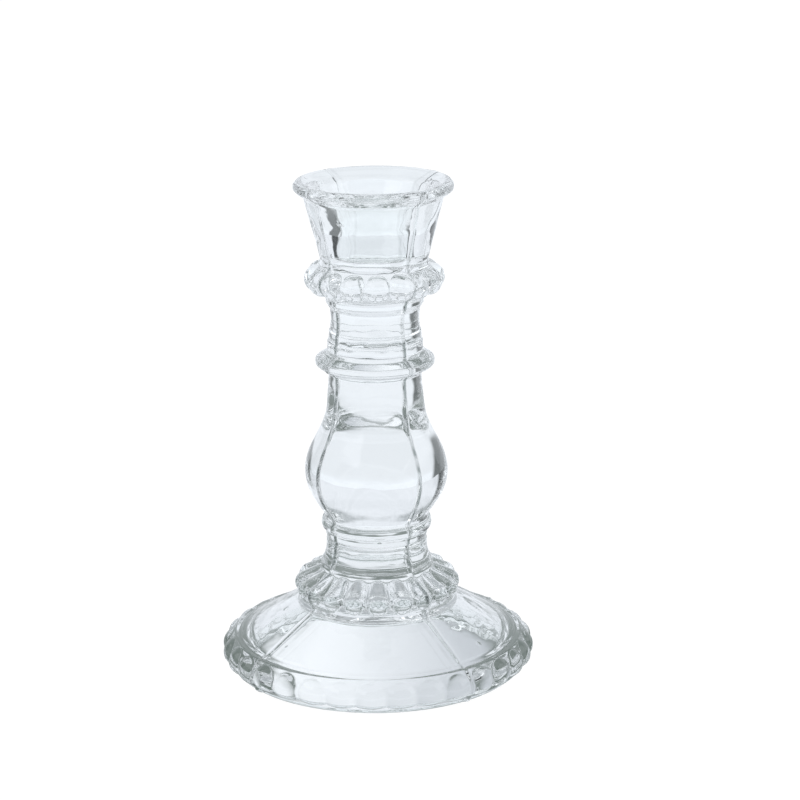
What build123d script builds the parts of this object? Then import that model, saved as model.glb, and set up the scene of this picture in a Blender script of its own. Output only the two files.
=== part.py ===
from build123d import *
from math import asin, atan2, cos, degrees, hypot, radians, sin
import os

# Pressed-glass candlestick for one dinner candle. It stands on the rim of its hollow foot at Z = 0, with its
# axis on Z. The glass is one moulding, kept here as its nine turned members, which meet face to face on flat
# horizontal joints with no gap, from the foot up to the candle cup. All lengths are millimetres, and a level
# inside a member is measured from that member's lower joint.

# Heights of the nine members, from the table up.
FOOT_HEIGHT = 23.5
GADROONED_KNOP_HEIGHT = 10.5
LOWER_NECK_HEIGHT = 11.5
COLLAR_HEIGHT = 5.5
BALUSTER_HEIGHT = 46.0
RING_KNOP_HEIGHT = 10.0
WAISTED_NECK_HEIGHT = 15.5
BEADED_KNOP_HEIGHT = 12.0
CUP_HEIGHT = 25.5

# Radius of the joint between each member and the next.
FOOT_JOINT = 25.2
KNOP_JOINT = 18.3
LOWER_NECK_JOINT = 16.5
COLLAR_JOINT = 16.8
BALUSTER_JOINT = 14.9
RING_JOINT = 15.2
WAIST_JOINT = 15.6
CUP_JOINT = 17.1

# Foot: a hollow cone with a plain ring at the table and a scalloped rim above it.
FOOT_RADIUS = 50.8
BASE_RING_HEIGHT = 2.2
BASE_RING_SETBACK = 4.5
BASE_RING_FLARE = 1.6
SHOULDER_LEVEL = 11.6
SHOULDER_SETBACK = 7.2
CONE_TOP_DROP = 3.5
CONE_TOP_FLARE = 4.4
SCALLOP_COUNT = 32
SCALLOP_PLAN_RADIUS = 7.0
SCALLOP_SECTION_RADIUS = 4.9
SCALLOP_LEVEL = 5.7
SCALLOP_DRAFT = 1.2
SCALLOP_RELIEF = 2.2

# The space under the foot.
RIM_LAND_WIDTH = 4.8
FOOT_WALL = 5.4
HOLLOW_DRAFT = 1.0
HOLLOW_CORE_RADIUS = 22.0
HOLLOW_CROWN_RISE = 2.0

# Gadrooned knop: a ring of ribs standing over a plain ring.
GADROON_COUNT = 20
GADROON_TIP_RADIUS = 26.7
GADROON_RADIUS = 3.7
GADROON_TOP_RADIUS = 2.9
GADROON_RUN = 5.2
GADROON_FOOT_GAP = 0.2
GADROON_TOP_GAP = 0.4
GADROON_RELIEF = 2.4
GADROON_TOP_LAND = 1.2
PLAIN_RING_HEIGHT = 2.6
PLAIN_RING_SWELL = 0.3

# Lower neck: concave, with two fine steps at its upper end.
LOWER_NECK_WAIST = 16.3
LOWER_NECK_STEP_HEIGHT = 1.4
STEP_DEPTH = 0.35

# Collar: a plain round ring under the baluster.
COLLAR_RADIUS = 17.7
COLLAR_LAND = 0.9

# Baluster: a long pear, widest low down, drawn in to a stalk.
BELLY_RADIUS = 23.0
BELLY_LEVEL = 14.8
STALK_RADIUS = 15.5
STALK_LENGTH = 10.0
STALK_LAND = 1.4

# Ring knop: one round-edged ring between two plain lands.
RING_RADIUS = 18.9
RING_LEVEL = 5.2
RING_EDGE = 1.4
RING_LOWER_LAND = 1.3
RING_UPPER_LAND = 1.6

# Waisted neck, with a step at each end.
WAIST_RADIUS = 14.05
WAIST_LOWER_STEP = 2.0
WAIST_UPPER_STEP = 1.5

# Beaded knop: a ring of round beads.
BEAD_COUNT = 16
BEAD_TIP_RADIUS = 22.3
BEAD_FOOT_GAP = 1.9
BEAD_TOP_GAP = 1.3
BEAD_RELIEF = 2.9

# Candle cup: a flared bowl with a rounded flange, and a hollow that narrows to a straight socket.
CUP_WALL_TOP_RADIUS = 22.3
CUP_FOOT_LAND = 1.2
FLANGE_RADIUS = 25.3
FLANGE_THICKNESS = 3.2
FLANGE_UNDERCUT = 1.8
CANDLE_RADIUS = 11.1
CANDLE_CLEARANCE = 0.3
SOCKET_LENGTH = 8.0
SOCKET_FLOOR = 2.0
SOCKET_FLOOR_ROUNDING = 1.5
MOUTH_RADIUS = 16.3
MOUTH_DISH = 2.6
MOUTH_EDGE_INSET = 1.6

# Levels of the joints above the table.
FOOT_TOP = FOOT_HEIGHT
KNOP_TOP = FOOT_TOP + GADROONED_KNOP_HEIGHT
LOWER_NECK_TOP = KNOP_TOP + LOWER_NECK_HEIGHT
COLLAR_TOP = LOWER_NECK_TOP + COLLAR_HEIGHT
BALUSTER_TOP = COLLAR_TOP + BALUSTER_HEIGHT
RING_TOP = BALUSTER_TOP + RING_KNOP_HEIGHT
WAIST_TOP = RING_TOP + WAISTED_NECK_HEIGHT
BEAD_TOP = WAIST_TOP + BEADED_KNOP_HEIGHT
RIM_TOP = BEAD_TOP + CUP_HEIGHT


def turned(*edges):
    """Solid of revolution about Z, from a closed chain of edges drawn as (radius, height)."""
    return revolve(Plane.XZ * make_face(edges), Axis.Z)


def closed_to_axis(bottom, top, *side):
    """Solid turned from its side, an open chain of edges from the point bottom up to the point top."""
    return turned(
        Line((0, bottom[1]), bottom),
        *side,
        Line(top, (0, top[1])),
        Line((0, top[1]), (0, bottom[1])),
    )


def teardrop(length, big, small):
    """Ball of radius big at the origin, joined by their common cone to a ball of radius small up Z."""
    lean = asin((big - small) / length)
    low = (big * cos(lean), big * sin(lean))
    high = (small * cos(lean), length + small * sin(lean))
    under = lean / 2 - radians(45)
    over = lean / 2 + radians(45)
    return turned(
        ThreePointArc((0, -big), (big * cos(under), big * sin(under)), low),
        Line(low, high),
        ThreePointArc(high, (small * cos(over), length + small * sin(over)), (0, length + small)),
        Line((0, length + small), (0, -big)),
    )


def round_axis(count, one):
    """Copies of one solid evenly round Z, the first half a step from the X axis."""
    return [Rot(0, 0, (place + 0.5) * 360 / count) * one for place in range(count)]


def leaning_teardrop(centre_radius, level, big, small, run, rise):
    """Teardrop whose big end is at centre_radius and level, and whose small end is run nearer, rise up."""
    lean = degrees(atan2(run, rise))
    return Pos(centre_radius, 0, level) * Rot(0, -lean, 0) * teardrop(hypot(run, rise), big, small)


def make_scallop():
    """One upright tongue: a drum that spreads from the top of the base ring up to a flattened dome."""
    offset = SCALLOP_PLAN_RADIUS - SCALLOP_SECTION_RADIUS
    crown = (SCALLOP_SECTION_RADIUS**2 - offset**2) ** 0.5
    drum = SCALLOP_LEVEL - BASE_RING_HEIGHT
    foot = (SCALLOP_PLAN_RADIUS - SCALLOP_DRAFT, -drum)
    edge = (SCALLOP_PLAN_RADIUS, 0)
    brow = (offset + SCALLOP_SECTION_RADIUS * cos(radians(60)), SCALLOP_SECTION_RADIUS * sin(radians(60)))
    return turned(
        Line((0, -drum), foot),
        Line(foot, edge),
        ThreePointArc(edge, brow, (0, crown)),
        Line((0, crown), (0, -drum)),
    )


def make_foot():
    """Hollow cone: a plain ring at the table, scallops round the rim, a straight slope up to the stem."""
    ring_foot = (FOOT_RADIUS - BASE_RING_SETBACK, 0)
    ring_top = (ring_foot[0] + BASE_RING_FLARE, BASE_RING_HEIGHT)
    band_foot = (FOOT_RADIUS - SCALLOP_RELIEF, BASE_RING_HEIGHT + BASE_RING_FLARE / 2)
    band_top = (band_foot[0], (SHOULDER_LEVEL + SCALLOP_LEVEL) / 2)
    shoulder = (FOOT_RADIUS - SHOULDER_SETBACK, SHOULDER_LEVEL)
    cone_top = (FOOT_JOINT + CONE_TOP_FLARE, FOOT_TOP - CONE_TOP_DROP)
    joint = (FOOT_JOINT, FOOT_TOP)
    slope = atan2(cone_top[1] - shoulder[1], shoulder[0] - cone_top[0])
    body = closed_to_axis(
        ring_foot, joint,
        Spline(ring_foot, ring_top, tangents=[(1, 0.4), (0, 1)]),
        Line(ring_top, band_foot),
        Line(band_foot, band_top),
        Spline(band_top, shoulder, tangents=[(0, 1), (-cos(slope), sin(slope))]),
        Line(shoulder, cone_top),
        Spline(cone_top, joint, tangents=[(-cos(slope), sin(slope)), (-0.2, 1)]),
    )
    scallop = Pos(FOOT_RADIUS - SCALLOP_PLAN_RADIUS, 0, SCALLOP_LEVEL) * make_scallop()

    # The hollow follows the slope at the wall's thickness, then closes in a shallow crown.
    mouth = (ring_foot[0] - RIM_LAND_WIDTH, 0)
    rise = sin(slope) / cos(slope)
    inner_rim_radius = mouth[0] - HOLLOW_DRAFT
    inner_drop = FOOT_WALL / cos(slope)
    inner_rim = (inner_rim_radius, cone_top[1] - (inner_rim_radius - cone_top[0]) * rise - inner_drop)
    core = (HOLLOW_CORE_RADIUS, cone_top[1] + (cone_top[0] - HOLLOW_CORE_RADIUS) * rise - inner_drop)
    crown = (0, core[1] + HOLLOW_CROWN_RISE)
    hollow = turned(
        Line((0, 0), mouth),
        Line(mouth, inner_rim),
        Line(inner_rim, core),
        Spline(core, crown, tangents=[(-cos(slope), sin(slope)), (-1, 0)]),
        Line(crown, (0, 0)),
    )
    return body + round_axis(SCALLOP_COUNT, scallop) - hollow


def make_gadrooned_knop():
    """Ribs leaning in towards the neck, over a plain ring."""
    ring_top = FOOT_TOP + PLAIN_RING_HEIGHT
    waist = GADROON_TIP_RADIUS - GADROON_RELIEF
    rib_level = FOOT_TOP + GADROON_RADIUS + GADROON_FOOT_GAP
    rise = KNOP_TOP - GADROON_TOP_GAP - GADROON_TOP_RADIUS - rib_level
    ring_crest = (FOOT_JOINT + PLAIN_RING_SWELL, (FOOT_TOP + ring_top) / 2)
    land = (KNOP_JOINT, KNOP_TOP - GADROON_TOP_LAND)
    body = closed_to_axis(
        (FOOT_JOINT, FOOT_TOP), (KNOP_JOINT, KNOP_TOP),
        ThreePointArc((FOOT_JOINT, FOOT_TOP), ring_crest, (FOOT_JOINT, ring_top)),
        Line((FOOT_JOINT, ring_top), (waist, ring_top)),
        Line((waist, ring_top), (waist, rib_level)),
        Line((waist, rib_level), land),
        Line(land, (KNOP_JOINT, KNOP_TOP)),
    )
    rib_foot = GADROON_TIP_RADIUS - GADROON_RADIUS
    rib = leaning_teardrop(rib_foot, rib_level, GADROON_RADIUS, GADROON_TOP_RADIUS, GADROON_RUN, rise)
    return body + round_axis(GADROON_COUNT, rib)


def make_lower_neck():
    """Concave neck that spreads over the knop, with two fine steps under the collar."""
    lower_step = LOWER_NECK_TOP - 2 * LOWER_NECK_STEP_HEIGHT
    upper_step = LOWER_NECK_TOP - LOWER_NECK_STEP_HEIGHT
    bottom = (KNOP_JOINT, KNOP_TOP)
    top = (LOWER_NECK_JOINT, LOWER_NECK_TOP)
    middle = (LOWER_NECK_WAIST, lower_step)
    return closed_to_axis(
        bottom, top,
        Spline(bottom, middle, tangents=[(-0.5, 1), (0, 1)]),
        Line(middle, (LOWER_NECK_WAIST - STEP_DEPTH, lower_step)),
        Line((LOWER_NECK_WAIST - STEP_DEPTH, lower_step), (LOWER_NECK_WAIST - STEP_DEPTH, upper_step)),
        Line((LOWER_NECK_WAIST - STEP_DEPTH, upper_step), (LOWER_NECK_WAIST, upper_step)),
        Line((LOWER_NECK_WAIST, upper_step), top),
    )


def make_collar():
    """Plain ring of half-round section between two short lands."""
    bottom = (LOWER_NECK_JOINT, LOWER_NECK_TOP)
    top = (COLLAR_JOINT, COLLAR_TOP)
    ring_foot = (LOWER_NECK_JOINT, LOWER_NECK_TOP + COLLAR_LAND)
    ring_top = (COLLAR_JOINT, COLLAR_TOP - COLLAR_LAND)
    crest = (COLLAR_RADIUS, (ring_foot[1] + ring_top[1]) / 2)
    return closed_to_axis(
        bottom, top,
        Line(bottom, ring_foot),
        ThreePointArc(ring_foot, crest, ring_top),
        Line(ring_top, top),
    )


def make_baluster():
    """Long pear: full and round low down, drawn in to a nearly straight stalk that ends in a short land."""
    bottom = (COLLAR_JOINT, COLLAR_TOP)
    belly = (BELLY_RADIUS, COLLAR_TOP + BELLY_LEVEL)
    stalk = (STALK_RADIUS, BALUSTER_TOP - STALK_LENGTH)
    land = (BALUSTER_JOINT, BALUSTER_TOP - STALK_LAND)
    top = (BALUSTER_JOINT, BALUSTER_TOP)
    return closed_to_axis(
        bottom, top,
        Spline(bottom, belly, stalk, land, tangents=[(0.6, 1), (-0.05, 1)]),
        Line(land, top),
    )


def make_ring_knop():
    """One ring with a rounded edge, hollowed above and below, between two short lands."""
    bottom = (BALUSTER_JOINT, BALUSTER_TOP)
    top = (RING_JOINT, RING_TOP)
    low = (BALUSTER_JOINT, BALUSTER_TOP + RING_LOWER_LAND)
    high = (RING_JOINT, RING_TOP - RING_UPPER_LAND)
    crest = (RING_RADIUS, BALUSTER_TOP + RING_LEVEL)
    edge = RING_RADIUS - RING_EDGE / 2
    under_edge = (edge, crest[1] - RING_EDGE)
    over_edge = (edge, crest[1] + RING_EDGE)
    return closed_to_axis(
        bottom, top,
        Line(bottom, low),
        Spline(low, under_edge, tangents=[(0.1, 1), (1, 0.6)]),
        ThreePointArc(under_edge, crest, over_edge),
        Spline(over_edge, high, tangents=[(-1, 0.6), (-0.1, 1)]),
        Line(high, top),
    )


def make_waisted_neck():
    """Concave neck with a plain step at each end."""
    bottom = (RING_JOINT, RING_TOP)
    top = (WAIST_JOINT, WAIST_TOP)
    low = (RING_JOINT - STEP_DEPTH, RING_TOP + WAIST_LOWER_STEP)
    high = (WAIST_JOINT - STEP_DEPTH, WAIST_TOP - WAIST_UPPER_STEP)
    waist = (WAIST_RADIUS, (low[1] + high[1]) / 2)
    return closed_to_axis(
        bottom, top,
        Line(bottom, (RING_JOINT, low[1])),
        Line((RING_JOINT, low[1]), low),
        Spline(low, waist, high),
        Line(high, (WAIST_JOINT, high[1])),
        Line((WAIST_JOINT, high[1]), top),
    )


def make_beaded_knop():
    """Ring of round beads standing out of a plain drum."""
    drum = BEAD_TIP_RADIUS - BEAD_RELIEF
    bead_radius = (BEADED_KNOP_HEIGHT - BEAD_FOOT_GAP - BEAD_TOP_GAP) / 2
    bead_level = WAIST_TOP + BEAD_FOOT_GAP + bead_radius
    low = (drum, bead_level - bead_radius * 0.6)
    high = (drum, bead_level + bead_radius * 0.6)
    body = closed_to_axis(
        (WAIST_JOINT, WAIST_TOP), (CUP_JOINT, BEAD_TOP),
        Spline((WAIST_JOINT, WAIST_TOP), low, tangents=[(0.3, 1), (0.3, 1)]),
        Line(low, high),
        Spline(high, (CUP_JOINT, BEAD_TOP), tangents=[(-0.3, 1), (-0.3, 1)]),
    )
    bead = Pos(BEAD_TIP_RADIUS - bead_radius, 0, bead_level) * Sphere(bead_radius)
    return body + round_axis(BEAD_COUNT, bead)


def make_candle_cup():
    """Flared bowl under a round-edged flange. Its dished mouth and cone lead into a straight socket."""
    bottom = (CUP_JOINT, BEAD_TOP)
    land = (CUP_JOINT, BEAD_TOP + CUP_FOOT_LAND)
    flange_foot = RIM_TOP - FLANGE_THICKNESS - FLANGE_UNDERCUT
    wall_top = (CUP_WALL_TOP_RADIUS, flange_foot)
    under_edge = (FLANGE_RADIUS - FLANGE_THICKNESS / 4, RIM_TOP - FLANGE_THICKNESS)
    crest = (FLANGE_RADIUS, RIM_TOP - FLANGE_THICKNESS / 2)
    rim = (FLANGE_RADIUS - FLANGE_THICKNESS / 2, RIM_TOP)
    socket = CANDLE_RADIUS + CANDLE_CLEARANCE
    floor = BEAD_TOP + SOCKET_FLOOR
    straight_top = floor + SOCKET_FLOOR_ROUNDING + SOCKET_LENGTH
    mouth = (MOUTH_RADIUS, RIM_TOP - MOUTH_DISH)
    rounding_centre = (socket - SOCKET_FLOOR_ROUNDING, floor + SOCKET_FLOOR_ROUNDING)
    rounding_mid = (
        rounding_centre[0] + SOCKET_FLOOR_ROUNDING * cos(radians(-45)),
        rounding_centre[1] + SOCKET_FLOOR_ROUNDING * sin(radians(-45)))
    return turned(
        Line((0, BEAD_TOP), bottom),
        Line(bottom, land),
        Line(land, wall_top),
        Spline(wall_top, under_edge, tangents=[(0.25, 1), (1, 0.5)]),
        ThreePointArc(under_edge, crest, rim),
        Spline(rim, mouth, tangents=[(-1, 0), (-0.6, -1)]),
        Line(mouth, (socket, straight_top)),
        Line((socket, straight_top), (socket, rounding_centre[1])),
        ThreePointArc((socket, rounding_centre[1]), rounding_mid, (rounding_centre[0], floor)),
        Line((rounding_centre[0], floor), (0, floor)),
        Line((0, floor), (0, BEAD_TOP)),
    )


members = {
    "foot": make_foot(),
    "gadrooned_knop": make_gadrooned_knop(),
    "lower_neck": make_lower_neck(),
    "collar": make_collar(),
    "baluster": make_baluster(),
    "ring_knop": make_ring_knop(),
    "waisted_neck": make_waisted_neck(),
    "beaded_knop": make_beaded_knop(),
    "candle_cup": make_candle_cup(),
}
os.makedirs("parts", exist_ok=True)
for name, member in members.items():
    export_step(member, f"parts/{name}.step")
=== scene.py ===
import math

import bpy
import numpy as np
from mathutils import Matrix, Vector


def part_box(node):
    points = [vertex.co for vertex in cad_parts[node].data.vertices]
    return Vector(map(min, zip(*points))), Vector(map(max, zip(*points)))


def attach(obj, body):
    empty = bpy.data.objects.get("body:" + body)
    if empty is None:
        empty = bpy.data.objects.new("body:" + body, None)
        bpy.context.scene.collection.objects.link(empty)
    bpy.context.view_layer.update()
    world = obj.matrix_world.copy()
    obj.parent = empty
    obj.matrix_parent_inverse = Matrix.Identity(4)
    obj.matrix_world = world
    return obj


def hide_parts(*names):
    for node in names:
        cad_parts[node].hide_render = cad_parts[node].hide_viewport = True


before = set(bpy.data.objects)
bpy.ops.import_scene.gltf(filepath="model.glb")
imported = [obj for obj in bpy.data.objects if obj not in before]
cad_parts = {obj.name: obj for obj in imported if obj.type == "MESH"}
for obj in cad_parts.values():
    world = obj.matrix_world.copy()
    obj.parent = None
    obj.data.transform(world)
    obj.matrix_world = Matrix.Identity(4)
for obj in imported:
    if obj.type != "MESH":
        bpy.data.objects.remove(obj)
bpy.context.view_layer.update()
MM = 0.001

# ---------------------------------------------------------------------------------------------------------
# The foot: a wide hollow cone of pressed glass that carries the candlestick on a plain ring. It came out
# of a four-part mould, which left a fine raised seam up each quarter, and its rim is pressed into 32
# round scallops.
# ---------------------------------------------------------------------------------------------------------

# Millimetres: the seam's size, the push given to a point that no ball of a rib reaches, and the radius
# inside which the waviness dies away. A plain member and a ribbed one have their own number of points
# round the axis.
SEAM_ANGLES = np.radians([45.0, 135.0, 225.0, 315.0])
SEAM_HEIGHT = 0.75
SEAM_WIDTH = 0.70
OUT_OF_REACH = -5.0
WAVES_FROM_RADIUS = 8.0
PLAIN_COLUMNS = 384
RIBBED_COLUMNS = 640


def rounded_outline(corners, spacing):
    """Points along a chain of straight runs whose corners are rounded.

    corners is a list of (radius, height, rounding). Each inner corner becomes an arc tangent to its two
    runs, with the radius given, or as large as half the shorter run lets it be, and the whole chain is
    then sampled at even steps of about the spacing along its length."""
    corners = np.array(corners, dtype=float)
    points = [corners[0, :2]]
    for before, here, after in zip(corners[:-2], corners[1:-1], corners[2:]):
        arriving = before[:2] - here[:2]
        leaving = after[:2] - here[:2]
        run_in, run_out = np.linalg.norm(arriving), np.linalg.norm(leaving)
        arriving, leaving = arriving / run_in, leaving / run_out
        half = math.acos(max(-1.0, min(1.0, float(arriving @ leaving)))) / 2
        reach = min(here[2] / math.tan(half), 0.49 * run_in, 0.49 * run_out)
        if reach < 1e-6 or half > math.radians(89.5):
            points.append(here[:2])
            continue
        along = np.linspace(0.0, 1.0, 13)[:, None]
        start, end = here[:2] + arriving * reach, here[:2] + leaving * reach
        weight = math.sin(half)
        blend = (1 - along) ** 2 + 2 * weight * along * (1 - along) + along ** 2
        arc = (1 - along) ** 2 * start + 2 * weight * along * (1 - along) * here[:2] + along ** 2 * end
        points.extend(arc / blend)
    points.append(corners[-1, :2])
    return resampled(np.array(points), spacing)


def resampled(points, spacing):
    """The same line with points at even steps of arc length, about the spacing apart."""
    steps = np.hypot(*np.diff(points, axis=0).T)
    points = points[np.concatenate([[True], steps > 1e-9])]
    length = np.concatenate([[0.0], np.cumsum(np.hypot(*np.diff(points, axis=0).T))])
    even = np.linspace(0.0, length[-1], max(3, int(round(length[-1] / spacing)) + 1))
    return np.stack([np.interp(even, length, points[:, 0]), np.interp(even, length, points[:, 1])], axis=1)


def flowing_outline(points, spacing, start=None, end=None):
    """Points along the smooth curve through the given points: a cubic spline in radius and height over the
    chord length, whose slope at each end is start and end, or free where none is given."""
    points = np.array(points, dtype=float)
    knots = np.concatenate([[0.0], np.cumsum(np.hypot(*np.diff(points, axis=0).T))])
    count = len(knots)
    gaps = np.diff(knots)
    system = np.zeros((count, count))
    right = np.zeros((count, 2))
    for row in range(1, count - 1):
        system[row, row - 1:row + 2] = [gaps[row], 2 * (gaps[row - 1] + gaps[row]), gaps[row - 1]]
        right[row] = 3 * (gaps[row] * (points[row] - points[row - 1]) / gaps[row - 1]
                          + gaps[row - 1] * (points[row + 1] - points[row]) / gaps[row])
    for row, slope, near in ((0, start, 1), (count - 1, end, count - 2)):
        if slope is None:
            system[row, row], system[row, near] = 2.0, 1.0
            right[row] = 3 * (points[near] - points[row]) / (knots[near] - knots[row])
        else:
            system[row, row] = 1.0
            right[row] = np.array(slope) / np.linalg.norm(slope)
    slopes = np.linalg.solve(system, right)
    along = np.linspace(0.0, knots[-1], int(knots[-1] / (0.2 * spacing)) + 2)
    span = np.clip(np.searchsorted(knots, along, side="right") - 1, 0, count - 2)
    gap = gaps[span][:, None]
    t = ((along - knots[span])[:, None]) / gap
    curve = ((2 * t ** 3 - 3 * t ** 2 + 1) * points[span] + (t ** 3 - 2 * t ** 2 + t) * gap * slopes[span]
             + (3 * t ** 2 - 2 * t ** 3) * points[span + 1] + (t ** 3 - t ** 2) * gap * slopes[span + 1])
    return resampled(curve, spacing)


def angles_round(count):
    """Angles once round the axis: even steps, drawn together towards each seam so that its fine ridge is
    smooth. The points lie 1 + 3.5 * |cos(2 * (angle - seam))| ** 40 times as close as far from any
    seam."""
    fine = np.linspace(0.0, 2 * np.pi, 20001)
    density = 1.0 + 3.5 * np.abs(np.cos(2 * (fine - SEAM_ANGLES[0]))) ** 40
    total = np.concatenate([[0.0], np.cumsum((density[1:] + density[:-1]) / 2)])
    return np.interp(np.arange(count) * total[-1] / count, total, fine)


def seam_ridge(angle, radius):
    """Height of the mould seam: a smooth ridge, the seam's height times exp of minus the square of the
    distance round the glass from the nearest seam over the seam's width."""
    from_seam = (angle - SEAM_ANGLES[0] + np.pi / 4) % (np.pi / 2) - np.pi / 4
    return SEAM_HEIGHT * np.exp(-((from_seam * radius) / SEAM_WIDTH) ** 2)


def hand_of_glass(angle, height):
    """Slow waviness that cooling leaves in pressed glass: a sum of five sines of the angle and the height,
    a few hundredths of a millimetre high."""
    return (0.050 * np.sin(3 * angle + 0.11 * height + 0.4)
            + 0.040 * np.sin(5 * angle - 0.23 * height + 1.9)
            + 0.030 * np.sin(2 * angle + 0.41 * height + 2.7)
            + 0.025 * np.sin(9 * angle + 0.57 * height + 0.8)
            + 0.012 * np.sin(17 * angle - 0.83 * height + 1.3))


def softened_max(one, other, blend):
    """The larger of two heights, with the crease between them rounded over the blend distance."""
    near = np.clip(blend - np.abs(one - other), 0.0, None) / blend
    return np.maximum(one, other) + near ** 2 * blend / 4


def raised_balls(surface, normal, angle, count, balls, stretch, blend):
    """How far each surface point is pushed along its normal to reach the skin of a ring of balls.

    balls is a list of (distance from the axis, height, radius) for one rib, and count ribs stand evenly
    round the axis, the first half a step from it. Each point asks the two nearest ribs, in the frame of
    the rib, with the distance round the axis divided by the stretch: along the normal n from the point p,
    the ball with centre c and radius r ends at s = (c-p).n + sqrt(r^2 - |c-p|^2 + ((c-p).n)^2)."""
    pitch = 2 * np.pi / count
    nearest = np.floor(angle / pitch) + 0.5
    lifted = None
    for neighbour in (0, 1, -1):
        turn = angle - (nearest + neighbour) * pitch
        across, around = np.cos(turn), np.sin(turn) / stretch
        place = np.stack([surface[..., 0] * across, surface[..., 0] * around, surface[..., 1]], axis=-1)
        facing = np.stack([normal[..., 0] * across, normal[..., 0] * around, normal[..., 1]], axis=-1)
        size = np.sum(facing ** 2, axis=-1)
        rib = np.full(angle.shape, OUT_OF_REACH)
        for distance, height, radius in balls:
            gap = np.array([distance, 0.0, height]) - place
            along = np.sum(gap * facing, axis=-1) / size
            root = along ** 2 - (np.sum(gap ** 2, axis=-1) - radius ** 2) / size
            reach = np.where(root > 0, along + np.sqrt(np.clip(root, 0.0, None)), OUT_OF_REACH)
            rib = np.maximum(rib, reach)
        lifted = rib if lifted is None else softened_max(lifted, rib, blend)
    return softened_max(lifted, np.zeros_like(lifted), blend)


def outline_normals(outline):
    """Unit normals of an outline drawn upwards on the outside: the tangent turned a quarter turn
    outwards."""
    tangent = np.gradient(outline, axis=0)
    tangent /= np.linalg.norm(tangent, axis=1)[:, None]
    return np.stack([tangent[:, 1], -tangent[:, 0]], axis=1)


def turned_glass(name, node, outline, columns, relief=None, outside=None, cap_low=True, cap_high=True,
                 seam=1.0):
    """A closed glass member turned about the axis.

    The outline runs from the member's lower end to its upper end with the glass on its left, each point
    (radius, height above the member's foot). Every point is swung round at each of angles_round, pushed
    out along its normal by the relief, and out from the axis by the seam and the waviness, both scaled by
    outside, which is 1 where the mould shaped the glass and 0 where the plunger did."""
    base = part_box(node)[0][2] / MM
    shape = np.array(outline)
    normal = outline_normals(shape)
    turn = np.repeat(angles_round(columns)[None, :], len(shape), axis=0)
    grid = np.repeat(shape[:, None, :], columns, axis=1)
    facing = np.repeat(normal[:, None, :], columns, axis=1)
    weight = np.ones((len(shape), 1)) if outside is None else np.array(outside, dtype=float)[:, None]
    if relief is not None:
        grid = grid + facing * (relief(grid, facing, turn) * weight)[..., None]
    near_axis = np.clip(grid[..., 0] / WAVES_FROM_RADIUS, 0.0, 1.0)
    skin = seam_ridge(turn, grid[..., 0]) * weight * seam
    skin += hand_of_glass(turn, grid[..., 1] + base) * (0.5 + 0.5 * weight) * near_axis
    radius = grid[..., 0] + skin
    rings = np.stack([radius * np.cos(turn), radius * np.sin(turn), grid[..., 1] + base], axis=-1) * MM
    return closed_mesh(name, rings, cap_low, cap_high)


def closed_mesh(name, rings, cap_low, cap_high):
    """Faces between each ring of points and the next, all facing out, and a fan to a middle point at each
    end. A capped end is a flat weld face with a sharp edge; the others are poles of the glass itself."""
    rows, columns = rings.shape[:2]
    points = rings.reshape(-1, 3)
    this = np.arange(columns)
    following = np.roll(this, -1)
    row = np.arange(rows - 1)[:, None] * columns
    above = row + columns
    sides = np.stack([row + this, row + following, above + following, above + this], axis=-1)
    middle_low = np.append([0.0, 0.0], rings[0, :, 2].mean())
    middle_high = np.append([0.0, 0.0], rings[-1, :, 2].mean())
    low_index, high_index = rows * columns, rows * columns + 1
    last = (rows - 1) * columns
    fan_low = np.stack([np.full(columns, low_index), following, this], axis=-1)
    fan_high = np.stack([np.full(columns, high_index), last + this, last + following], axis=-1)
    points = np.concatenate([points, [middle_low, middle_high]])
    faces = sides.reshape(-1, 4).tolist() + fan_low.tolist() + fan_high.tolist()
    mesh = bpy.data.meshes.new(name)
    mesh.from_pydata(points.tolist(), [], faces)
    material = np.zeros(len(faces), dtype=np.int32)
    side_count = (rows - 1) * columns
    material[side_count:side_count + columns] = 1 if cap_low else 0
    material[side_count + columns:] = 1 if cap_high else 0
    mesh.polygons.foreach_set("material_index", material)
    mesh.polygons.foreach_set("use_smooth", np.ones(len(faces), dtype=bool))
    ends = np.zeros(len(mesh.vertices), dtype=np.int32)
    if cap_low:
        ends[:columns] = 1
    if cap_high:
        ends[last:last + columns] = 2
    pairs = np.empty(len(mesh.edges) * 2, dtype=np.int32)
    mesh.edges.foreach_get("vertices", pairs)
    pairs = ends[pairs.reshape(-1, 2)]
    sharp = (pairs[:, 0] == pairs[:, 1]) & (pairs[:, 0] > 0)
    mesh.edges.foreach_set("use_edge_sharp", sharp)
    mesh.update()
    piece = bpy.data.objects.new(name, mesh)
    bpy.context.collection.objects.link(piece)
    return piece


# The painted shade along each seam, a darker line that stands in for what the sharp seam does to the light.
# The edges are twice the distances from the seam, in metres, at which the line begins and is full, and the
# middle is the height above the table at which it is strongest.
SEAM_SHADE_EDGES = (0.0018, 0.0005)
SEAM_SHADE_MIDDLE = 0.080
GLASS_TINT = (0.965, 0.985, 0.98, 1.0)
# Painted shade: the dark grey-green of the seam line, standing in for the light that the sharp seam turns
# away.
SEAM_PAINTED_SHADE = (0.16, 0.19, 0.18, 1.0)


def ranged(tree, value, start, end, low=0.0, high=1.0, smooth=True):
    """A map-range node that goes from low to high as the value goes from start to end, smoothly or
    straight."""
    step = tree.nodes.new("ShaderNodeMapRange")
    step.interpolation_type = "SMOOTHSTEP" if smooth else "LINEAR"
    for socket, number in (("From Min", start), ("From Max", end), ("To Min", low), ("To Max", high)):
        step.inputs[socket].default_value = number
    tree.links.new(value, step.inputs["Value"])
    return step.outputs["Result"]


def arithmetic(tree, operation, first, second=None):
    """One math node on two values, each a socket or a number."""
    node = tree.nodes.new("ShaderNodeMath")
    node.operation = operation
    for socket, value in zip(node.inputs, (first, second)):
        if isinstance(value, float):
            socket.default_value = value
        elif value is not None:
            tree.links.new(value, socket)
    return node.outputs["Value"]


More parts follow.
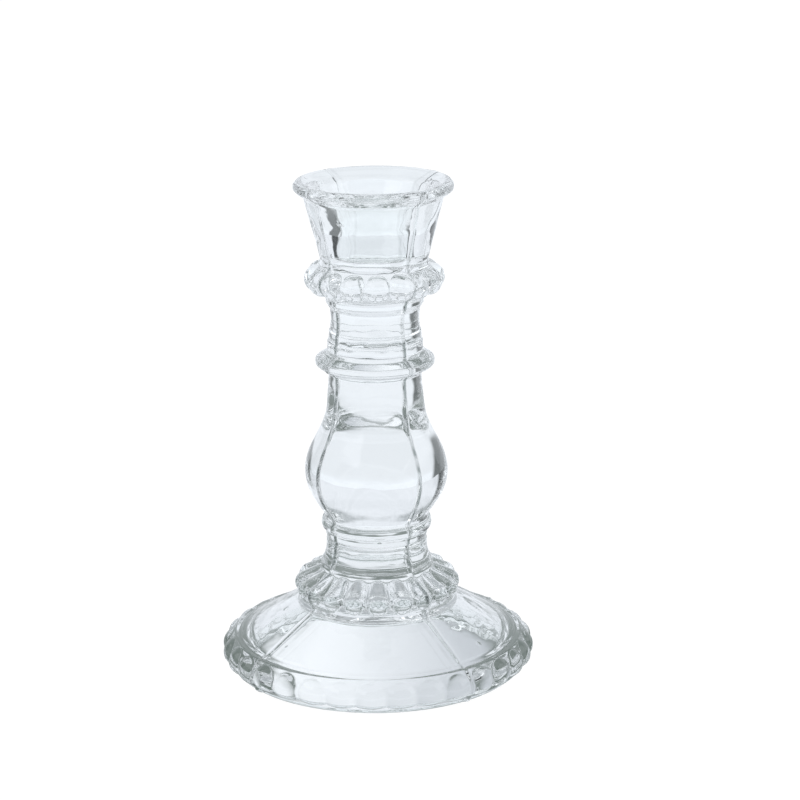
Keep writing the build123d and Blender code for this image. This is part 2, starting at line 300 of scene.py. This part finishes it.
def seam_painted_shade(tree, place, ripple):
    """1 along the painted shade of each mould seam, a dark, broken line. The distance from the nearest of
    the four seams is |x*x - y*y| over twice the radius, the ripple breaks the line, and it fades towards
    the foot and the cup."""
    split = tree.nodes.new("ShaderNodeSeparateXYZ")
    tree.links.new(place, split.inputs["Vector"])
    x_square = arithmetic(tree, "MULTIPLY", split.outputs["X"], split.outputs["X"])
    y_square = arithmetic(tree, "MULTIPLY", split.outputs["Y"], split.outputs["Y"])
    radius = arithmetic(tree, "SQRT", arithmetic(tree, "ADD", x_square, y_square))
    apart = arithmetic(tree, "ABSOLUTE", arithmetic(tree, "SUBTRACT", x_square, y_square))
    line = ranged(tree, arithmetic(tree, "DIVIDE", apart, radius), *SEAM_SHADE_EDGES)
    broken = ranged(tree, ripple, 0.38, 0.58, 0.25, 1.0, smooth=False)
    along = arithmetic(tree, "ABSOLUTE", arithmetic(tree, "SUBTRACT", split.outputs["Z"], SEAM_SHADE_MIDDLE))
    fading = ranged(tree, along, 0.060, 0.050, 0.2, 1.0, smooth=False)
    return arithmetic(tree, "MULTIPLY", line, arithmetic(tree, "MULTIPLY", broken, fading))


def pressed_skin():
    """Shader group for the skin of pressed glass, in the object's own coordinates.

    Skin is the height of the ripple left by the mould, plus up to 0.8 at each of the rare seeds, which are
    small round swellings over bubbles. Haze is a roughness: nearly nothing, and a little more in soft
    patches of handling. Seam is 1 along the mould seams, where the glass is painted with shade."""
    group = bpy.data.node_groups.new("pressed_skin", "ShaderNodeTree")
    for name in ("Skin", "Haze", "Seam"):
        group.interface.new_socket(name, in_out="OUTPUT", socket_type="NodeSocketFloat")
    nodes, links = group.nodes, group.links
    out = nodes.new("NodeGroupOutput")
    place = nodes.new("ShaderNodeTexCoord").outputs["Object"]
    squash = nodes.new("ShaderNodeMapping")
    squash.inputs["Scale"].default_value = (1.0, 1.0, 1.7)
    links.new(place, squash.inputs["Vector"])
    ripple = nodes.new("ShaderNodeTexNoise")
    ripple.inputs["Scale"].default_value = 130.0
    ripple.inputs["Detail"].default_value = 1.5
    ripple.inputs["Roughness"].default_value = 0.4
    links.new(squash.outputs["Vector"], ripple.inputs["Vector"])
    seeds = nodes.new("ShaderNodeTexVoronoi")
    seeds.inputs["Scale"].default_value = 85.0
    links.new(place, seeds.inputs["Vector"])
    swelling = ranged(group, seeds.outputs["Distance"], 0.10, 0.03, 0.0, 0.8)
    links.new(arithmetic(group, "ADD", ripple.outputs["Fac"], swelling), out.inputs["Skin"])
    patches = nodes.new("ShaderNodeTexNoise")
    patches.inputs["Scale"].default_value = 38.0
    patches.inputs["Detail"].default_value = 4.0
    links.new(place, patches.inputs["Vector"])
    haze = ranged(group, patches.outputs["Fac"], 0.52, 0.75, 0.0, 0.035, smooth=False)
    links.new(haze, out.inputs["Haze"])
    links.new(seam_painted_shade(group, place, ripple.outputs["Fac"]), out.inputs["Seam"])
    return group


def clear_glass():
    """Clear pressed glass: full transmission near the index of soda-lime glass, with a faint green-grey
    colour of its own, and painted shade along the mould seams: a dark line that stands in for what a
    sharp seam does to the light."""
    material = bpy.data.materials.new("clear_pressed_glass")
    material.use_nodes = True
    nodes, links = material.node_tree.nodes, material.node_tree.links
    shader = nodes["Principled BSDF"]
    shader.inputs["Metallic"].default_value = 0.0
    shader.inputs["IOR"].default_value = 1.50
    shader.inputs["Transmission Weight"].default_value = 1.0
    skin = nodes.new("ShaderNodeGroup")
    skin.node_tree = pressed_skin()
    links.new(skin.outputs["Haze"], shader.inputs["Roughness"])
    # The glass's own faint colour, mixed towards the painted seam shade along the mould seams.
    tint_and_seam_shade = nodes.new("ShaderNodeMix")
    tint_and_seam_shade.data_type = "RGBA"
    tint_and_seam_shade.inputs[6].default_value = GLASS_TINT
    tint_and_seam_shade.inputs[7].default_value = SEAM_PAINTED_SHADE
    links.new(skin.outputs["Seam"], tint_and_seam_shade.inputs["Factor"])
    links.new(tint_and_seam_shade.outputs[2], shader.inputs["Base Color"])
    bump = nodes.new("ShaderNodeBump")
    bump.inputs["Distance"].default_value = 0.00015
    links.new(skin.outputs["Skin"], bump.inputs["Height"])
    links.new(bump.outputs["Normal"], shader.inputs["Normal"])
    return material


def invisible_weld():
    """The joint between two members, where the glass runs on without a surface: fully see-through."""
    material = bpy.data.materials.new("glass_runs_through")
    material.use_nodes = True
    shader = material.node_tree.nodes["Principled BSDF"]
    shader.inputs["Alpha"].default_value = 0.0
    shader.inputs["Roughness"].default_value = 0.0
    return material


GLASS = clear_glass()
WELD = invisible_weld()


def finish_member(piece, node):
    """Gives a member its two materials and puts it on the frame in place of its CAD node."""
    piece.data.materials.append(GLASS)
    piece.data.materials.append(WELD)
    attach(piece, "root")
    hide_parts(node)


FOOT_LINING = [
    (0.35, 20.3, 0.0), (10.0, 20.2, 6.0), (22.0, 18.3, 6.0), (40.5, 7.2, 5.0), (41.1, 3.0, 3.0),
    (41.5, 0.0, 0.0)]
FOOT_OUTSIDE = [
    (41.5, 0.0, 0.0), (46.3, 0.0, 0.9), (47.9, 1.2, 0.8), (47.9, 2.3, 0.3), (47.0, 2.7, 0.4),
    (48.6, 3.2, 0.5), (48.6, 8.6, 2.5), (46.6, 10.9, 0.8), (44.9, 10.9, 0.5), (44.3, 11.4, 0.5),
    (43.4, 11.7, 2.0), (29.6, 20.0, 4.0), (26.0, 22.0, 1.2), (25.2, 23.5, 0.0)]
SCALLOPS = 32
SCALLOP_BALL = [(45.9, 5.7, 4.9), (45.6, 4.5, 4.9), (44.6, 3.3, 4.9)]
SCALLOP_STRETCH = 1.23


def scallops(surface, normal, angle):
    """The rim's scallops: each a short upright row of three flattened balls, kept above the plain ring."""
    above_ring = np.clip((surface[..., 1] - 2.4) / 1.4, 0.0, 1.0)
    return raised_balls(surface, normal, angle, SCALLOPS, SCALLOP_BALL, SCALLOP_STRETCH, 0.25) * above_ring


lining = rounded_outline(FOOT_LINING, 1.2)
outside = rounded_outline(FOOT_OUTSIDE, 0.42)
foot = turned_glass(
    "foot_glass", "foot", np.concatenate([lining[:-1], outside]), RIBBED_COLUMNS, scallops,
    np.concatenate([np.zeros(len(lining) - 1), np.ones(len(outside))]), cap_low=False)
finish_member(foot, "foot")

# ---------------------------------------------------------------------------------------------------------
# The gadrooned knop: twenty ribs pressed round a swelling of the solid stem, standing on a plain ring.
# Each rib is a row of shrinking balls laid on a turned body, and the creases between the ribs are
# softened.
# ---------------------------------------------------------------------------------------------------------

KNOP_OUTSIDE = [
    (25.2, 0.0, 0.0), (25.5, 1.3, 1.5), (25.2, 2.5, 0.4), (24.3, 2.8, 0.3), (24.3, 4.0, 1.5),
    (18.3, 9.3, 0.6), (18.3, 10.5, 0.0)]
GADROONS = 20
GADROON_FOOT = (23.0, 3.9, 3.7)
GADROON_TIP = (17.8, 7.2, 2.9)


def gadroons(surface, normal, angle):
    """The ribs: a row of balls that shrink from the outer foot of each rib to its upper tip."""
    along = np.linspace(0.0, 1.0, 9)[:, None]
    balls = np.array(GADROON_FOOT) * (1 - along) + np.array(GADROON_TIP) * along
    return raised_balls(surface, normal, angle, GADROONS, balls, 1.0, 0.3)


gadrooned_knop = turned_glass(
    "gadrooned_knop_glass", "gadrooned_knop", rounded_outline(KNOP_OUTSIDE, 0.2), RIBBED_COLUMNS, gadroons)
finish_member(gadrooned_knop, "gadrooned_knop")

# ---------------------------------------------------------------------------------------------------------
# The lower neck: a short concave neck of solid glass, with two fine steps under the collar. It is turned
# from one outline with small roundings.
# ---------------------------------------------------------------------------------------------------------

lower_neck = turned_glass("lower_neck_glass", "lower_neck", rounded_outline([
    (18.3, 0.0, 0.0), (18.1, 1.2, 0.5), (17.0, 2.9, 2.0), (16.3, 5.5, 6.0), (16.2, 8.4, 0.2),
    (15.9, 8.7, 0.2), (15.9, 9.9, 0.2), (16.3, 10.2, 0.2), (16.5, 11.5, 0.0)], 0.2), PLAIN_COLUMNS)
finish_member(lower_neck, "lower_neck")

# ---------------------------------------------------------------------------------------------------------
# The collar: a plain ring of solid glass of half-round section, between the lower neck and the baluster.
# It is turned from one outline.
# ---------------------------------------------------------------------------------------------------------

collar = turned_glass("collar_glass", "collar", rounded_outline([
    (16.5, 0.0, 0.0), (16.5, 0.8, 0.3), (17.5, 1.2, 0.8), (17.8, 2.6, 1.6), (17.5, 4.2, 0.8),
    (16.8, 4.6, 0.3), (16.8, 5.5, 0.0)], 0.15), PLAIN_COLUMNS)
finish_member(collar, "collar")

# ---------------------------------------------------------------------------------------------------------
# The baluster: the long pear of solid glass in the middle of the stem, which acts as a lens. It is turned
# from a smooth spline, since it has no edge between its two ends.
# ---------------------------------------------------------------------------------------------------------

baluster = turned_glass("baluster_glass", "baluster", flowing_outline([
    (16.8, 0.0), (19.2, 4.0), (21.7, 8.4), (23.0, 14.8), (21.9, 20.2), (18.3, 28.0), (16.0, 34.0),
    (15.3, 40.0), (14.9, 46.0)], 0.35, start=(0.5, 1.0), end=(0.0, 1.0)), PLAIN_COLUMNS)
finish_member(baluster, "baluster")

# ---------------------------------------------------------------------------------------------------------
# The ring knop: one round-edged ring of solid glass between two narrow lands. It is turned from one
# outline at a fine step, so that its edge stays round.
# ---------------------------------------------------------------------------------------------------------

ring_knop = turned_glass("ring_knop_glass", "ring_knop", rounded_outline([
    (14.9, 0.0, 0.0), (14.9, 1.2, 0.8), (16.2, 2.4, 1.6), (18.2, 3.4, 0.6), (18.95, 4.2, 0.7),
    (18.95, 5.9, 0.9), (17.6, 6.7, 0.8), (16.0, 7.6, 1.4), (15.2, 8.6, 0.8),
    (15.2, 10.0, 0.0)], 0.18), PLAIN_COLUMNS)
finish_member(ring_knop, "ring_knop")

# ---------------------------------------------------------------------------------------------------------
# The waisted neck: a short concave neck of solid glass with a small step at each end. It is turned from
# one outline, with a wide rounding at the waist.
# ---------------------------------------------------------------------------------------------------------

waisted_neck = turned_glass("waisted_neck_glass", "waisted_neck", rounded_outline([
    (15.2, 0.0, 0.0), (15.25, 1.6, 0.4), (14.85, 2.0, 0.3), (14.7, 4.9, 0.3), (14.3, 5.4, 0.5),
    (14.0, 9.0, 9.0), (14.35, 12.4, 2.0), (15.0, 13.3, 0.4), (15.3, 14.0, 0.4), (15.6, 14.4, 0.3),
    (15.6, 15.5, 0.0)], 0.2), PLAIN_COLUMNS)
finish_member(waisted_neck, "waisted_neck")

# ---------------------------------------------------------------------------------------------------------
# The beaded knop: sixteen round beads pressed round the solid stem under the candle cup. Each bead is a
# ball laid on a turned body.
# ---------------------------------------------------------------------------------------------------------

BEADS = 16
BEAD_BALL = [(17.9, 6.3, 4.4)]


def beads(surface, normal, angle):
    """One round ball for each bead."""
    return raised_balls(surface, normal, angle, BEADS, BEAD_BALL, 1.0, 0.3)


beaded_knop = turned_glass("beaded_knop_glass", "beaded_knop", rounded_outline([
    (15.6, 0.0, 0.0), (16.2, 1.4, 1.0), (19.4, 3.2, 1.0), (19.4, 9.0, 1.5), (17.3, 10.8, 0.8),
    (17.1, 12.0, 0.0)], 0.2), RIBBED_COLUMNS, beads)
finish_member(beaded_knop, "beaded_knop")

# ---------------------------------------------------------------------------------------------------------
# The candle cup: a flared bowl with a rounded flange, and a straight socket below for the candle. The
# mould shaped its outside and the plunger its inside, so the seams end at the top of the rim.
# ---------------------------------------------------------------------------------------------------------

CUP_SEAM = 0.45
cup_outline = rounded_outline([
    (17.1, 0.0, 0.0), (17.15, 1.2, 0.8), (22.2, 20.6, 1.6), (24.3, 22.0, 1.0), (25.25, 22.9, 0.8),
    (25.3, 24.3, 0.9), (24.2, 25.5, 1.0), (22.4, 25.4, 2.0), (16.3, 22.9, 2.5), (11.4, 11.5, 8.0),
    (11.4, 2.0, 1.5), (0.35, 2.0, 0.0)], 0.3)
rim_row = int(np.argmax(cup_outline[:, 1]))
candle_cup = turned_glass(
    "candle_cup_glass", "candle_cup", cup_outline, PLAIN_COLUMNS, None,
    np.where(np.arange(len(cup_outline)) <= rim_row, 1.0, 0.0), cap_high=False, seam=CUP_SEAM)
finish_member(candle_cup, "candle_cup")

# ---------------------------------------------------------------------------------------------------------
# The studio: the camera sees a plain white table and background. The glass reflects and refracts a floor
# that glows with painted light and shade, and a room of soft light and dark patches, whose azimuth 0 is
# straight away from the camera.
# ---------------------------------------------------------------------------------------------------------

CAMERA_AZIMUTH = math.radians(8.5)
SEEN_WHITE = (1.0, 1.0, 1.0)


def between(tree, value, start, end, soft):
    """1 where an angle lies between start and end, in degrees, and 0 outside, over soft edges."""
    start, end, soft = math.radians(start), math.radians(end), math.radians(soft)
    return arithmetic(tree, "SUBTRACT", ranged(tree, value, start - soft, start + soft),
                      ranged(tree, value, end - soft, end + soft))


def painted(tree, factor, under, over):
    """The colour over, a tuple, laid on the colour under, a tuple or a socket, where the factor is 1."""
    mix = tree.nodes.new("ShaderNodeMix")
    mix.data_type = "RGBA"
    tree.links.new(factor, mix.inputs["Factor"])
    for socket, colour in ((mix.inputs[6], under), (mix.inputs[7], over)):
        if isinstance(colour, tuple):
            socket.default_value = colour + (1.0,)
        else:
            tree.links.new(colour, socket)
    return mix.outputs[2]


def away_from_camera(tree, vector):
    """The parts of a vector to the right of, straight away from and above the camera's view."""
    turn = tree.nodes.new("ShaderNodeMapping")
    turn.inputs["Rotation"].default_value = (0.0, 0.0, -CAMERA_AZIMUTH)
    tree.links.new(vector, turn.inputs["Vector"])
    split = tree.nodes.new("ShaderNodeSeparateXYZ")
    tree.links.new(turn.outputs["Vector"], split.inputs["Vector"])
    return split.outputs["X"], split.outputs["Y"], split.outputs["Z"]


def ellipse(tree, side, away, squash):
    """Distance over the floor from the axis, with the part away from the camera scaled by the squash."""
    scaled = arithmetic(tree, "MULTIPLY", away, squash)
    square = arithmetic(tree, "ADD", arithmetic(tree, "POWER", arithmetic(tree, "ABSOLUTE", side), 2.0),
                        arithmetic(tree, "POWER", arithmetic(tree, "ABSOLUTE", scaled), 2.0))
    return arithmetic(tree, "SQRT", square)


# The floor as the glass sees it, with distances in metres, all painted light and shade in the floor's glow:
# an open sheet, paler far off, painted dark shade to both sides, painted light near the left and a grey
# painted shadow near the right, and a dark ring of painted shade close round the foot.
FLOOR_REACH = 3.0
OPEN_SHEET = (0.82, 0.85, 0.90)
FAR_SHEET = (0.89, 0.93, 0.99)
NEAR_LEFT_PAINTED_LIGHT = (0.93, 0.96, 1.01)
NEAR_RIGHT_PAINTED_SHADOW = (0.54, 0.57, 0.62)
SIDE_PAINTED_SHADE = (0.08, 0.09, 0.09)
FRONT_SQUASH = 0.80
SHADE_START = (0.034, 0.041)
SHADE_END = (0.075, 0.09)
SHADE_COLOUR = (0.16, 0.19, 0.18)


def studio_floor():
    """A wide flat sheet under the candlestick: plain white to the camera, and to every other ray a glow of
    painted light and shade."""
    mesh = bpy.data.meshes.new("floor")
    corners = [(x * FLOOR_REACH, y * FLOOR_REACH, 0.0) for x, y in ((-1, -1), (1, -1), (1, 1), (-1, 1))]
    mesh.from_pydata(corners, [], [(0, 1, 2, 3)])
    floor = bpy.data.objects.new("floor", mesh)
    bpy.context.collection.objects.link(floor)
    material = bpy.data.materials.new("pale_floor_painted_light_and_shade")
    material.use_nodes = True
    tree = material.node_tree
    shader = tree.nodes["Principled BSDF"]
    shader.inputs["Base Color"].default_value = (0.12, 0.12, 0.12, 1.0)
    shader.inputs["Roughness"].default_value = 1.0
    shader.inputs["Specular IOR Level"].default_value = 0.0
    place = tree.nodes.new("ShaderNodeTexCoord")
    side, away, _ = away_from_camera(tree, place.outputs["Object"])
    azimuth = arithmetic(tree, "ARCTAN2", side, away)
    distance = ellipse(tree, side, away, 1.0)
    # Painted light: the floor's glow is paler far off.
    sheet = painted(tree, ranged(tree, distance, 0.35, 0.65), OPEN_SHEET, FAR_SHEET)
    # Painted shade: dark strips on the floor to both sides, beyond the near ring.
    left = between(tree, azimuth, -72, -40, 3)
    right = between(tree, azimuth, 57, 78, 4)
    side_shade_mask = arithmetic(tree, "MULTIPLY", arithmetic(tree, "MAXIMUM", left, right),
                       ranged(tree, distance, 0.11, 0.15))
    sheet = painted(tree, side_shade_mask, sheet, SIDE_PAINTED_SHADE)
    # Painted light near the left of the foot and a painted shadow near the right.
    around = painted(tree, ranged(tree, side, -0.025, 0.045), NEAR_LEFT_PAINTED_LIGHT, NEAR_RIGHT_PAINTED_SHADOW)
    sheet = painted(tree, ranged(tree, distance, 0.07, 0.10), around, sheet)
    # Painted shade: a dark ring close round the foot, standing in for its contact shadow.
    inner = ellipse(tree, side, away, FRONT_SQUASH)
    shade = arithmetic(tree, "SUBTRACT", ranged(tree, inner, *SHADE_START),
                       ranged(tree, distance, *SHADE_END))
    shade = arithmetic(tree, "MAXIMUM", shade, 0.0)
    sheet = painted(tree, shade, sheet, SHADE_COLOUR)
    path = tree.nodes.new("ShaderNodeLightPath")
    sheet = painted(tree, path.outputs["Is Camera Ray"], sheet, SEEN_WHITE)
    tree.links.new(sheet, shader.inputs["Emission Color"])
    shader.inputs["Emission Strength"].default_value = 0.97
    mesh.materials.append(material)


studio_floor()

# Patches of the room round the table, each laid over the one before on a dark grey: azimuth from and to,
# elevation from and to, in degrees, the softness of its edge, and its colour.
ROOM_GREY = (0.16, 0.18, 0.18)
ROOM_PATCHES = [
    (-112, 112, -20, 26, 4, (0.66, 0.69, 0.73)),
    (-50, 62, -20, 52, 4, (0.85, 0.88, 0.94)),
    (-50, 62, 26, 52, 4, (0.46, 0.49, 0.52)),
    (-72, -50, -20, 26, 3, (0.02, 0.025, 0.025)),
    (62, 78, -20, 13, 3, (0.05, 0.06, 0.06)),
    (-150, -60, 27, 52, 4, (1.5, 1.53, 1.6)),
    (62, 110, 14, 52, 4, (1.4, 1.43, 1.5)),
    (-185, 185, 52, 95, 6, (0.90, 0.93, 0.98)),
    (-40, 40, 52, 80, 6, (0.36, 0.38, 0.40)),
]


def studio_world():
    """The room's light: a pale sweep behind with a dark gap at each end, two bright side lights above it,
    a pale ceiling with a dim middle, and a dark front. The camera itself sees plain white."""
    world = bpy.data.worlds.new("studio")
    bpy.context.scene.world = world
    world.use_nodes = True
    tree = world.node_tree
    place = tree.nodes.new("ShaderNodeTexCoord")
    side, away, height = away_from_camera(tree, place.outputs["Generated"])
    azimuth = arithmetic(tree, "ARCTAN2", side, away)
    elevation = arithmetic(tree, "ARCSINE", height)
    room = ROOM_GREY
    for left, right, low, high, soft, colour in ROOM_PATCHES:
        inside = arithmetic(tree, "MULTIPLY", between(tree, azimuth, left, right, soft),
                            between(tree, elevation, low, high, soft))
        room = painted(tree, inside, room, colour)
    path = tree.nodes.new("ShaderNodeLightPath")
    seen = painted(tree, path.outputs["Is Camera Ray"], room, SEEN_WHITE)
    tree.links.new(seen, tree.nodes["Background"].inputs["Color"])


studio_world()

CAMERA_DISTANCE = 0.804
CAMERA_HEIGHT = 0.316
CAMERA_PITCH = math.radians(15.806)
CAMERA_YAW = math.radians(0.5566)
CAMERA_ROLL = math.radians(-0.3864)
CAMERA_LENS = 117.6


def studio_camera():
    """The camera stands at the azimuth, distance and height given, and looks down by the pitch, with a
    slight yaw and roll. Its axes are worked out from those angles and set as the columns of its matrix."""
    camera = bpy.data.objects.new("camera", bpy.data.cameras.new("camera"))
    bpy.context.collection.objects.link(camera)
    heading = CAMERA_YAW - CAMERA_AZIMUTH
    level = math.cos(CAMERA_PITCH)
    forward = np.array([math.sin(heading) * level, math.cos(heading) * level, -math.sin(CAMERA_PITCH)])
    right = np.array([math.cos(heading), -math.sin(heading), 0.0])
    up = np.cross(right, forward)
    right, up = (math.cos(CAMERA_ROLL) * right + math.sin(CAMERA_ROLL) * up,
                 math.cos(CAMERA_ROLL) * up - math.sin(CAMERA_ROLL) * right)
    place = (CAMERA_DISTANCE * math.sin(CAMERA_AZIMUTH), -CAMERA_DISTANCE * math.cos(CAMERA_AZIMUTH),
             CAMERA_HEIGHT)
    matrix = Matrix.Identity(4)
    for column, axis in enumerate((right, up, -forward, place)):
        for row in range(3):
            matrix[row][column] = axis[row]
    camera.matrix_world = matrix
    camera.data.lens = CAMERA_LENS
    camera.data.sensor_width = 36.0
    camera.data.clip_start = 0.01
    bpy.context.scene.camera = camera


studio_camera()
scene = bpy.context.scene
scene.view_settings.view_transform = "Standard"
scene.cycles.max_bounces = 48
scene.cycles.transmission_bounces = 48
scene.cycles.glossy_bounces = 24
scene.cycles.transparent_max_bounces = 96
